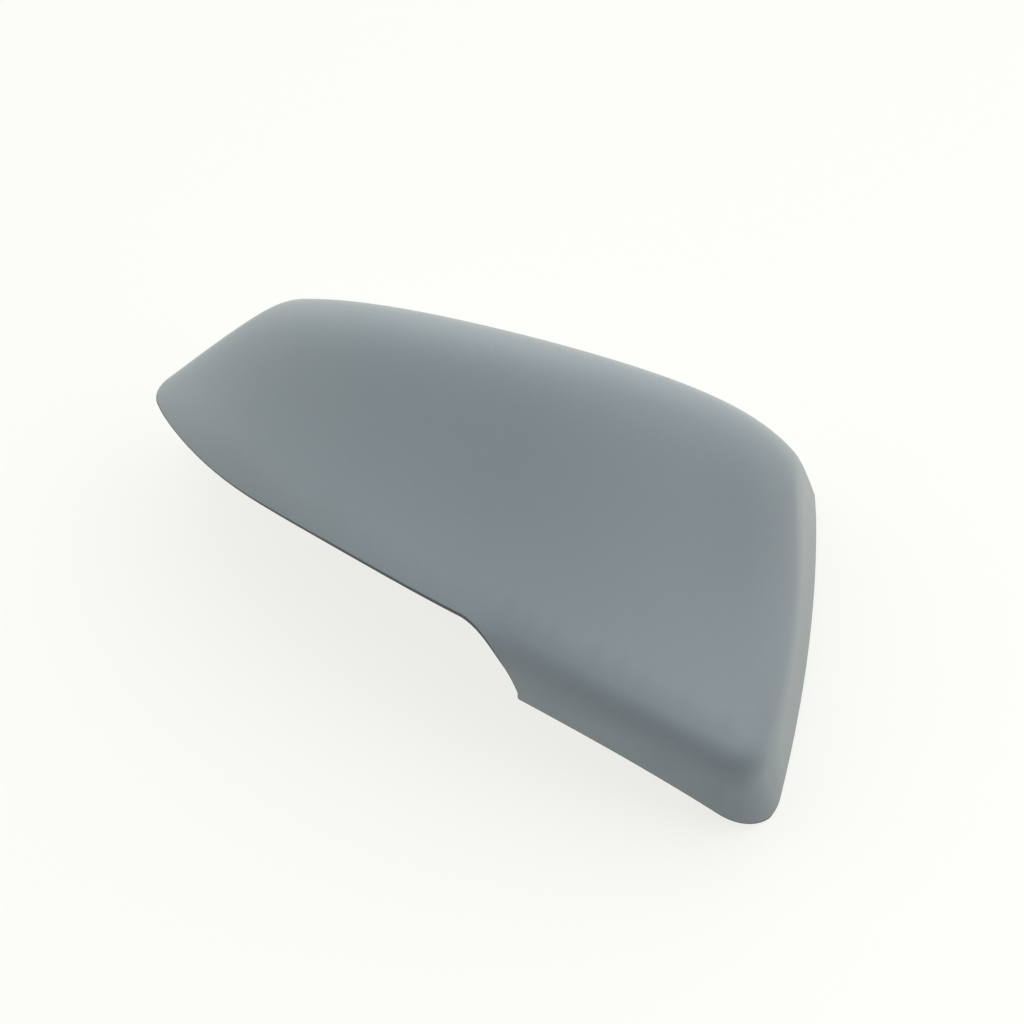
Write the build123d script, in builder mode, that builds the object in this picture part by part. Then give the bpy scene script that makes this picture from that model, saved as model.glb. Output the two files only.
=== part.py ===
from build123d import *
import os
from math import asinh, cos, exp, log, pi, radians, sin, sinh, tanh

# Left-hand wing mirror cover, one injection moulding, lying on its rim with the open side down.
# X runs along the cover from the inboard tip to the outboard end, Y toward the edge that is
# uppermost on the car, and Z is the car's forward direction. Millimetres and degrees.

# Wall and edges of the moulding
wall = 2.5
draft_angle = 10.9
draft_lean = 7.0
crown_roll = 9.5
inner_chamfer_share = 0.5

# Plan of the walls, from the inboard tip along the lower edge and round the outboard corner. It lies
# under the table, tilted so that the lower wall stands steeper than the others.
plan_depth = 30.0
tip = (-266.2, 76.7)
lower_shoulder = (-194.6, 22.2)
lower_bow = (-110.4, -2.5)
corner = (11.9, -8.3)
outboard_bow = (5.9, 62.0)
outboard_top = (-38.6, 191.2)
inboard_top = (-152.9, 201.2)
tip_radius = 24.8
corner_radius = 23.6

# Rails that carry the crown: its lower edge, and the line where it starts to roll to the back
lower_rail = [Vector(-250, 56.5), Vector(-157, 20), Vector(-82.5, 2), Vector(0, 0)]
top_rail = [Vector(-215.5, 102.5), Vector(-84.5, 106.5), Vector(-19, 121.5)]

# Crown heights above the rim at the ends of the rails, and how far the crown bows between them
lower_height_inboard = 59.2
lower_height_outboard = 37.2
top_height_inboard = 103.9
top_height_outboard = 69.2
bow_along = 19.3
bow_across = -4.2

# Rolls of the crown: the slope that each ends at, its softness, and how far in from the end it sits
back_slope = 3.0
back_softness_inboard = 11.1
back_softness_outboard = 8.7
inboard_slope = 1.2
inboard_softness = 8.0
inboard_inset = 4.0
outboard_slope = 1.6
outboard_softness = 8.0
outboard_inset = 11.5

# The outboard roll fades toward the lower edge: the share across at which it is halfway, and how fast
ridge_middle = 0.4
ridge_sharpness = 3.0

# Trimmed lower edge, seen from below the mirror: X and height above the rim
corner_foot = (4.0, 0.0)
lower_edge_bow = (-42.3, 26.5)
notch_foot = (-85.4, 38.7)
notch_height = 3.2
notch_radius = 1.2
notch_lean = (-0.35, 1.0)
arm_curve_bow = (-96.2, 59.6)
arm_curve_top = (-108.2, 64.6)
arm_curve_lean = (-1.0, 0.15)
arm_edge_bow = (-185.0, 64.3)
arm_edge_tip = (-250.0, 52.8)
lower_wall_reach = 25.0
arm_reach = 72.0
inboard_foot = 96.0
outboard_arch = 5.0
outboard_arch_start = 4.0
outboard_arch_end = 126.0

# Snap hooks that clip into the mirror housing: share along the rails, share across, and bearing
hooks = [(0.24, 0.80, 90), (0.54, 0.82, 90), (0.82, 0.80, 90), (0.70, 0.20, -90), (0.90, 0.22, -90)]
hook_length = 24.0
hook_width = 12.0
hook_thickness = 2.2
barb = 2.0
barb_height = 4.5
gusset_thickness = 1.5
gusset_reach = 7.0
gusset_drop = 11.0

# Stiffening ribs under the crown, each at a share along the rails
rib_stations = [0.16, 0.40, 0.64]
rib_thickness = 1.5
rib_depth = 4.0
rib_start = 0.14
rib_end = 0.86
rib_points = 9

# How far the crown skin is carried past the rails before it is trimmed, and its sampling
overrun_lower = 24.0
overrun_back = 95.0
overrun_ends = 0.13
stations = 9
station_crowding = 0.6
section_points = 12
shoulder_spread = 20.0
slope_step = 0.5
beyond = 150.0
mesh_tolerance = 0.02


def blend(a, b, share):
    return a + (b - a) * share


def softplus(value):
    """A smooth ramp: 0 far below zero and the value itself far above it"""
    return max(value, 0) + log(1 + exp(-abs(value)))


def roll(distance, slope, softness):
    """Drop of a surface that turns down to this slope past distance 0"""
    return slope * softness * softplus(-distance / softness)


def on_curve(points, share):
    """Point on the Bezier curve of these control points, which may be past its ends"""
    while len(points) > 1:
        points = [blend(a, b, share) for a, b in zip(points, points[1:])]
    return points[0]


def section_across(along):
    """Vector from the lower rail to the top one, which stays the same past their ends"""
    inside = min(max(along, 0), 1)
    return on_curve(top_rail, inside) - on_curve(lower_rail, inside)


def section_width(along):
    return section_across(along).length


def section_plane(along):
    """Upright plane through both rails, with its x axis across the cover from the lower rail"""
    inside = min(max(along, 0), 1)
    low = on_curve(lower_rail, inside) + (lower_rail[-1] - lower_rail[0]) * (along - inside)
    across = section_across(along)
    return Plane(origin=low, x_dir=across, z_dir=across.cross(Vector(0, 0, 1)))


def crown_height(along, across):
    """Height of the outer crown at a share along the rails and a distance from the lower one"""
    width = section_width(along)
    share = across / width
    length = blend((lower_rail[-1] - lower_rail[0]).length, (top_rail[-1] - top_rail[0]).length, share)
    lower_height = blend(lower_height_inboard, lower_height_outboard, along)
    top_height = blend(top_height_inboard, top_height_outboard, along)
    height = blend(lower_height, top_height, share)
    height += bow_across * 4 * share * (1 - share) + bow_along * 4 * along * (1 - along)
    height -= roll(width - across, back_slope, blend(back_softness_inboard, back_softness_outboard, along))
    height -= roll(length * along - inboard_inset, inboard_slope, inboard_softness)
    ridge_slope = outboard_slope * (1 + tanh(ridge_sharpness * (share - ridge_middle))) / 2
    height -= roll(length * (1 - along) - outboard_inset, ridge_slope, outboard_softness)
    return height


def section_curve(along, depth, start, end, count):
    """Points of a section, as distance across and height, this far under the outer crown"""
    points = []
    width = section_width(along)
    first = asinh((start - width) / shoulder_spread)
    last = asinh((end - width) / shoulder_spread)
    for index in range(count):
        across = width + shoulder_spread * sinh(blend(first, last, index / (count - 1)))
        rise = crown_height(along, across + slope_step) - crown_height(along, across - slope_step)
        normal = Vector(-rise, 2 * slope_step).normalized()
        points.append(Vector(across, crown_height(along, across)) - normal * depth)
    return points


def crown_skin(depth):
    """Crown surface at this depth, lofted through the sections from end to end"""
    sections = []
    for index in range(stations):
        turn = 2 * pi * index / (stations - 1)
        along = blend(-overrun_ends, 1 + overrun_ends, (turn - station_crowding * sin(turn)) / (2 * pi))
        end = section_width(along) + overrun_back
        plane = section_plane(along)
        curve = section_curve(along, depth, -overrun_lower, end, section_points)
        knots = [float(knot) for knot in range(section_points)]
        edge = Edge.make_spline([plane.from_local_coords(point) for point in curve], parameters=knots)
        sections.append(Wire([edge]))
    return Shell.make_loft(sections).face()


def block(depth):
    """Solid under the skin at this depth: the drafted plan, cut off by the crown and eased there"""
    outboard_back = (outboard_top[0], outboard_top[1] + overrun_back)
    inboard_back = (inboard_top[0], inboard_top[1] + overrun_back)
    lean = (0, -sin(radians(draft_lean)), cos(radians(draft_lean)))
    with BuildPart() as body:
        with BuildSketch(Plane(origin=(0, 0, -plan_depth), x_dir=(1, 0, 0), z_dir=lean)):
            with BuildLine():
                lower_edge = ThreePointArc(lower_shoulder, lower_bow, corner)
                TangentArc(lower_shoulder, tip, tangent=-(lower_edge % 0))
                ThreePointArc(corner, outboard_bow, outboard_top)
                Polyline(outboard_top, outboard_back, inboard_back, inboard_top, tip)
            make_face()
            fillet(vertices().sort_by(Axis.X)[0], radius=tip_radius)
            fillet(vertices().sort_by(Axis.Y)[0], radius=corner_radius)
            if depth:
                offset(amount=-depth, mode=Mode.REPLACE)
        extrude(amount=beyond, taper=draft_angle)
        extrude(crown_skin(depth), amount=2 * beyond, dir=(0, 0, -1), mode=Mode.INTERSECT)
        split(bisect_by=Plane.XY, keep=Keep.TOP)
        crown = faces().sort_by(Axis.Z)[-1]
        crown_edges = crown.edges().filter_by(lambda edge: edge.center().Z > wall)
        if depth:
            chamfer(crown_edges, length=inner_chamfer_share * (crown_roll - depth))
        else:
            fillet(crown_edges, radius=crown_roll)
    return body.part


with BuildPart() as moulding:
    add(block(0))
    add(block(wall), mode=Mode.SUBTRACT)
    # Lower wall, trimmed to its edge from the outboard corner to the notch and up the arm curve
    with BuildSketch(Plane.XZ.offset(-lower_wall_reach)):
        with BuildLine():
            notch_head = (notch_foot[0], notch_foot[1] + notch_height)
            ThreePointArc(corner_foot, lower_edge_bow, notch_foot)
            Line(notch_foot, notch_head)
            Spline(notch_head, arm_curve_bow, arm_curve_top, tangents=[notch_lean, arm_curve_lean])
            Polyline(arm_curve_top, (arm_curve_top[0], -wall), (corner_foot[0], -wall), corner_foot)
        make_face()
        fillet(vertices().sort_by_distance(notch_foot)[0], radius=notch_radius)
    extrude(amount=beyond, mode=Mode.SUBTRACT)
    # Inboard half of the lower edge, cut high to pass the mirror arm
    inboard_side = arm_edge_tip[0] - beyond
    with BuildSketch(Plane.XZ.offset(-arm_reach)):
        with BuildLine():
            ThreePointArc(arm_curve_top, arm_edge_bow, arm_edge_tip)
            Polyline(
                arm_edge_tip,
                (inboard_side, arm_edge_tip[1]),
                (inboard_side, -wall),
                (arm_curve_top[0], -wall),
                arm_curve_top,
            )
        make_face()
    extrude(amount=beyond, mode=Mode.SUBTRACT)
    # Inboard rim, sloping from the arm edge down to the table
    with BuildSketch(Plane.YZ.offset(inboard_side)):
        with BuildLine():
            Polyline(
                (arm_reach - wall, -wall),
                (inboard_foot, -wall),
                (inboard_foot, 0),
                (arm_reach, arm_edge_tip[1]),
                (arm_reach - wall, arm_edge_tip[1]),
                close=True,
            )
        make_face()
    extrude(amount=beyond + arm_reach, mode=Mode.SUBTRACT)
    # Outboard rim, arched clear of the table between its two ends
    with BuildSketch(Plane.YZ.offset(outboard_top[0] - lower_wall_reach)):
        with BuildLine():
            arch_middle = (outboard_arch_start + outboard_arch_end) / 2
            arch_top = (arch_middle, outboard_arch)
            arch = ThreePointArc((outboard_arch_start, 0), arch_top, (outboard_arch_end, 0))
            Line(arch @ 1, arch @ 0)
        make_face()
    extrude(amount=beyond, mode=Mode.SUBTRACT)


def hook(along, share, bearing):
    """Cantilever snap hook under the crown, its barb facing the bearing, with two root gussets"""
    across = share * section_width(along)
    foot = section_plane(along).from_local_coords(Vector(across, crown_height(along, across) - hook_length))
    facing = Vector(1, 0, 0).rotate(Axis.Z, bearing)
    plane = Plane(origin=foot, x_dir=facing, z_dir=facing.cross(Vector(0, 0, 1)))
    top = 2 * hook_length
    with BuildPart() as body:
        with BuildSketch(plane):
            with BuildLine():
                Polyline(
                    (0, 0),
                    (hook_thickness / 2, 0),
                    (hook_thickness + barb, barb_height - barb),
                    (hook_thickness + barb, barb_height),
                    (hook_thickness, barb_height),
                    (hook_thickness, top),
                    (0, top),
                    close=True,
                )
            make_face()
        extrude(amount=hook_width / 2, both=True)
        side = (hook_width - gusset_thickness) / 2
        with BuildSketch(plane.offset(side), plane.offset(-side)):
            with BuildLine():
                Polyline(
                    (0, gusset_drop),
                    (0, top),
                    (-gusset_reach, top),
                    (-gusset_reach, hook_length - wall),
                    close=True,
                )
            make_face()
        extrude(amount=gusset_thickness / 2, both=True)
    return body.part


def rib(along):
    """Low stiffening rib across the underside of the crown"""
    start = rib_start * section_width(along)
    end = rib_end * section_width(along)
    with BuildPart() as body:
        with BuildSketch(section_plane(along)):
            with BuildLine():
                root = Spline(*section_curve(along, wall / 2, start, end, rib_points))
                depth = wall + rib_depth
                edge = Spline(*section_curve(along, depth, start + rib_depth, end - rib_depth, rib_points))
                Line(root @ 0, edge @ 0)
                Line(root @ 1, edge @ 1)
            make_face()
        extrude(amount=rib_thickness / 2, both=True)
    return body.part


with BuildPart() as fittings:
    for along, share, bearing in hooks:
        add(hook(along, share, bearing))
    add(block(wall / 2), mode=Mode.INTERSECT)
    for along in rib_stations:
        add(rib(along))

with BuildPart() as mirror_cover:
    outline = moulding.part.tessellate(mesh_tolerance)[0]
    middle_x = (min(point.X for point in outline) + max(point.X for point in outline)) / 2
    middle_y = (min(point.Y for point in outline) + max(point.Y for point in outline)) / 2
    with Locations((-middle_x, -middle_y, 0)):
        add(moulding.part)
        add(fittings.part)

mirror_cover.part.label = "mirror_cover"
os.makedirs("parts", exist_ok=True)
export_step(mirror_cover.part, "parts/mirror_cover.step")
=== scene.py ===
import math

import bpy
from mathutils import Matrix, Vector
from mathutils.bvhtree import BVHTree
from mathutils.kdtree import KDTree

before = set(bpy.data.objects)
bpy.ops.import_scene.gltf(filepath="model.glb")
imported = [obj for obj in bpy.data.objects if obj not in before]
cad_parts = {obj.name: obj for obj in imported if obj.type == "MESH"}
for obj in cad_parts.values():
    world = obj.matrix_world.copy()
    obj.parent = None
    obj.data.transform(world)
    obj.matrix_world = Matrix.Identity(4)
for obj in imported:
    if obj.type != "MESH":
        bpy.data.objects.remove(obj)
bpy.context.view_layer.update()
scene = bpy.context.scene
scene.view_settings.view_transform = "Standard"
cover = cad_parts["mirror_cover"]

# Colours of the primer, of the dust on it, of the plastic under it, and of the trimmed edges, darkened
# both as painted shade and as black plastic under thin primer
primer_dark = (0.196, 0.235, 0.268, 1)
primer_light = (0.205, 0.245, 0.278, 1)
primer_speck = (0.232, 0.271, 0.304, 1)
primer_dust = (1.0, 0.96, 0.82, 1)
plastic_dark = (0.020, 0.021, 0.022, 1)
plastic_light = (0.030, 0.031, 0.032, 1)
edge_shade_colour = (0.025, 0.028, 0.030, 1)

# Reach of the darkening along the trimmed edges: painted shade there, and the black plastic showing
# through the thin primer
edge_shade_reach = 0.0006

# A point in the hollow, and the most that a painted face may lean down
hollow = Vector((0, 0.01, 0.02))
most_lean = -0.5

# How far off a face its ray starts
ray_start = 0.0005

# Edges that turn more than this stay sharp
sharp_turn = math.radians(32)

# Reach over which the paint softens an edge, and the spacing of the samples for it
paint_softness = 0.010
sample_step = 0.002

# Table, and how far it is lifted to white for the camera, which leaves the shadow soft
table_size = 12
table_colour = (0.90, 0.90, 0.88, 1)
table_white = (0.99, 1.0, 0.96, 1)
table_lift = 0.80

# Brightness of the room around the cover, and the way to the photographer, where it is dimmest
room_colour = (1.0, 0.99, 0.93, 1)
room_bright = 1.8
room_dim = 0.03
photographer = (0.48, -0.68, 0.56)

# Softbox over the outboard end
softbox_place = Vector((0.40, 0.02, 0.62))
softbox_target = Vector((0.05, 0.0, 0.03))
softbox_size = (0.6, 0.5)
softbox_colour = (0.96, 0.98, 1.0)
softbox_power = 1.5

# Camera: the way it looks, the point it looks at, how far off that is, and its pixel in the photograph
azimuth = math.radians(19.37)
elevation = math.radians(56.96)
look = Vector((0.0065344, -0.0143297, 0.0399))
look_distance = 1.0417
look_column = 501.15
look_row = 532.04
image_middle = 512
focal_pixels = 3000
lens = 105.47


# Node helpers
def new_material(name):
    material = bpy.data.materials.new(name)
    material.use_nodes = True
    tree = material.node_tree
    return material, tree, tree.nodes["Principled BSDF"]


def noise(tree, position, scale, detail):
    node = tree.nodes.new("ShaderNodeTexNoise")
    node.inputs["Scale"].default_value = scale
    node.inputs["Detail"].default_value = detail
    tree.links.new(position, node.inputs["Vector"])
    return node.outputs["Fac"]


def spread(tree, value, low, high, out_low, out_high):
    node = tree.nodes.new("ShaderNodeMapRange")
    node.inputs["From Min"].default_value = low
    node.inputs["From Max"].default_value = high
    node.inputs["To Min"].default_value = out_low
    node.inputs["To Max"].default_value = out_high
    tree.links.new(value, node.inputs["Value"])
    return node.outputs["Result"]


def sum_of(tree, first, second):
    node = tree.nodes.new("ShaderNodeMath")
    tree.links.new(first, node.inputs[0])
    tree.links.new(second, node.inputs[1])
    return node.outputs[0]


def mixed(tree, factor, first, second):
    node = tree.nodes.new("ShaderNodeMix")
    node.data_type = "RGBA"
    for socket, value in ((node.inputs[6], first), (node.inputs[7], second)):
        if isinstance(value, tuple):
            socket.default_value = value
        else:
            tree.links.new(value, socket)
    tree.links.new(factor, node.inputs[0])
    return node.outputs[2]


def bump(tree, height, strength, distance, normal=None):
    node = tree.nodes.new("ShaderNodeBump")
    node.inputs["Strength"].default_value = strength
    node.inputs["Distance"].default_value = distance
    tree.links.new(height, node.inputs["Height"])
    if normal is not None:
        tree.links.new(normal, node.inputs["Normal"])
    return node.outputs["Normal"]


# Grey primer: sprayed, satin, with a fine dry grain and a faint orange peel under it
primer, tree, shader = new_material("grey_primer")
place = tree.nodes.new("ShaderNodeTexCoord").outputs["Object"]
patches = noise(tree, place, 14.0, 3.0)
grain = noise(tree, place, 2600.0, 2.0)
peel = noise(tree, place, 420.0, 2.0)
cloud = mixed(tree, spread(tree, patches, 0.35, 0.65, 0.0, 1.0), primer_dark, primer_light)
speck = mixed(tree, spread(tree, grain, 0.38, 0.62, 0.0, 0.5), cloud, primer_speck)

# Rays inside the wall find the trimmed edges and darken them: painted shade along the edge, and the black
# plastic under the thin primer there
edge_rays = tree.nodes.new("ShaderNodeAmbientOcclusion")
edge_rays.inside = True
edge_rays.only_local = True
edge_rays.samples = 8
edge_rays.inputs["Distance"].default_value = edge_shade_reach
edge_shade_mask = spread(tree, edge_rays.outputs["AO"], 0.55, 0.95, 0.8, 0.0)
tree.links.new(mixed(tree, edge_shade_mask, speck, edge_shade_colour), shader.inputs["Base Color"])
tree.links.new(spread(tree, patches, 0.3, 0.7, 0.44, 0.50), shader.inputs["Roughness"])
orange_peel = bump(tree, peel, 0.05, 0.0004)
tree.links.new(bump(tree, grain, 0.12, 0.0002, orange_peel), shader.inputs["Normal"])
shader.inputs["IOR"].default_value = 1.5
shader.inputs["Sheen Weight"].default_value = 0.25
shader.inputs["Sheen Roughness"].default_value = 0.4
shader.inputs["Sheen Tint"].default_value = primer_dust

# Bare moulded plastic of the inside and of the trimmed edges
moulded, tree, shader = new_material("black_moulding")
place = tree.nodes.new("ShaderNodeTexCoord").outputs["Object"]
grain = noise(tree, place, 1500.0, 3.0)
patches = noise(tree, place, 22.0, 3.0)
cloud = mixed(tree, spread(tree, patches, 0.35, 0.65, 0.0, 1.0), plastic_dark, plastic_light)
tree.links.new(cloud, shader.inputs["Base Color"])
tree.links.new(spread(tree, patches, 0.3, 0.7, 0.48, 0.58), shader.inputs["Roughness"])
tree.links.new(bump(tree, grain, 0.25, 0.0002), shader.inputs["Normal"])

# Primer goes on what faces away from the hollow with nothing of the cover in front of it
mesh = cover.data
mesh.materials.clear()
mesh.materials.append(primer)
mesh.materials.append(moulded)
places = [vertex.co for vertex in mesh.vertices]
walls = BVHTree.FromPolygons(places, [face.vertices for face in mesh.polygons])
painted = []
for face in mesh.polygons:
    outward = (face.center - hollow).dot(face.normal) > 0 and face.normal.z > most_lean
    covered = walls.ray_cast(face.center + face.normal * ray_start, face.normal)[0] is not None
    face.material_index = 0 if outward and not covered else 1
    if face.material_index == 0:
        painted.append(face)
mesh.shade_smooth()
mesh.set_sharp_from_angle(angle=sharp_turn)


# Points spread evenly over a triangle, each with its share of the triangle's normal
def face_samples(face):
    corners = [mesh.vertices[index].co for index in face.vertices]
    steps = 1 + int(math.sqrt(face.area) / sample_step)
    share = face.normal * (face.area / steps ** 2)
    for row in range(steps):
        for column in range(steps - row):
            across = (row + 1 / 3) / steps
            along = (column + 1 / 3) / steps
            yield corners[0] * (1 - across - along) + corners[1] * across + corners[2] * along, share


# Thick paint softens the look of the rolled edges: a painted corner takes the mean normal around it
samples = [sample for face in painted for sample in face_samples(face)]
nearby = KDTree(len(samples))
for number, (spot, share) in enumerate(samples):
    nearby.insert(spot, number)
nearby.balance()
soft = {}
for index in {index for face in painted for index in face.vertices}:
    total = Vector()
    for spot, number, distance in nearby.find_range(mesh.vertices[index].co, paint_softness):
        total += samples[number][1] * (1 - distance / paint_softness)
    soft[index] = total.normalized()
normals = [Vector(corner.vector) for corner in mesh.corner_normals]
for face in painted:
    for corner in face.loop_indices:
        normals[corner] = soft[mesh.loops[corner].vertex_index]

# A copy outside the scene carries those normals, and a modifier hands them to the cover, whose mesh stays
soft_mesh = mesh.copy()
soft_mesh.normals_split_custom_set(normals)
soft_cover = bpy.data.objects.new("soft_cover", soft_mesh)
paint_film = cover.modifiers.new("paint_film", "DATA_TRANSFER")
paint_film.object = soft_cover
paint_film.use_loop_data = True
paint_film.data_types_loops = {"CUSTOM_NORMAL"}
paint_film.loop_mapping = "TOPOLOGY"

# Pale table, white to the camera
bpy.ops.mesh.primitive_plane_add(size=table_size)
floor = bpy.context.object
floor.name = "floor"
paper, tree, shader = new_material("white_paper")
shader.inputs["Base Color"].default_value = table_colour
shader.inputs["Roughness"].default_value = 0.9
shader.inputs["Specular IOR Level"].default_value = 0.1
white = tree.nodes.new("ShaderNodeEmission")
white.inputs["Color"].default_value = table_white
rays = tree.nodes.new("ShaderNodeLightPath").outputs
mirrored = sum_of(tree, rays["Is Glossy Ray"], rays["Is Transmission Ray"])
seen = sum_of(tree, rays["Is Camera Ray"], mirrored)
lift = tree.nodes.new("ShaderNodeMixShader")
tree.links.new(spread(tree, seen, 0.0, 1.0, 0.0, table_lift), lift.inputs[0])
tree.links.new(shader.outputs[0], lift.inputs[1])
tree.links.new(white.outputs[0], lift.inputs[2])
tree.links.new(lift.outputs[0], tree.nodes["Material Output"].inputs["Surface"])
floor.data.materials.append(paper)

# White room, dimmest where the photographer stands
world = bpy.data.worlds.new("room")
scene.world = world
world.use_nodes = True
tree = world.node_tree
direction = tree.nodes.new("ShaderNodeTexCoord").outputs["Generated"]
facing = tree.nodes.new("ShaderNodeVectorMath")
facing.operation = "DOT_PRODUCT"
facing.inputs[1].default_value = photographer
tree.links.new(direction, facing.inputs[0])
room = tree.nodes["Background"]
room.inputs["Color"].default_value = room_colour
brightness = spread(tree, facing.outputs["Value"], -0.05, 0.85, room_bright, room_dim)
tree.links.new(brightness, room.inputs["Strength"])

# Softbox
light = bpy.data.lights.new("overhead", "AREA")
light.shape = "RECTANGLE"
light.size = softbox_size[0]
light.size_y = softbox_size[1]
light.energy = softbox_power
light.color = softbox_colour
lamp = bpy.data.objects.new("overhead", light)
scene.collection.objects.link(lamp)
lamp.location = softbox_place
lamp.rotation_euler = (softbox_target - softbox_place).to_track_quat("-Z", "Y").to_euler()

# Camera at the photograph's angle, aimed so that the point it looks at falls on its pixel
camera = bpy.data.cameras.new("camera")
camera.lens = lens
eye = bpy.data.objects.new("camera", camera)
scene.collection.objects.link(eye)
scene.camera = eye
level = math.cos(elevation)
forward = Vector((-math.sin(azimuth) * level, math.cos(azimuth) * level, -math.sin(elevation)))
right = Vector((math.cos(azimuth), math.sin(azimuth), 0))
up = right.cross(forward)
aside = right * (image_middle - look_column) / focal_pixels
above = up * (look_row - image_middle) / focal_pixels
eye.location = look - forward * look_distance
eye.rotation_euler = (forward + aside + above).to_track_quat("-Z", "Y").to_euler()
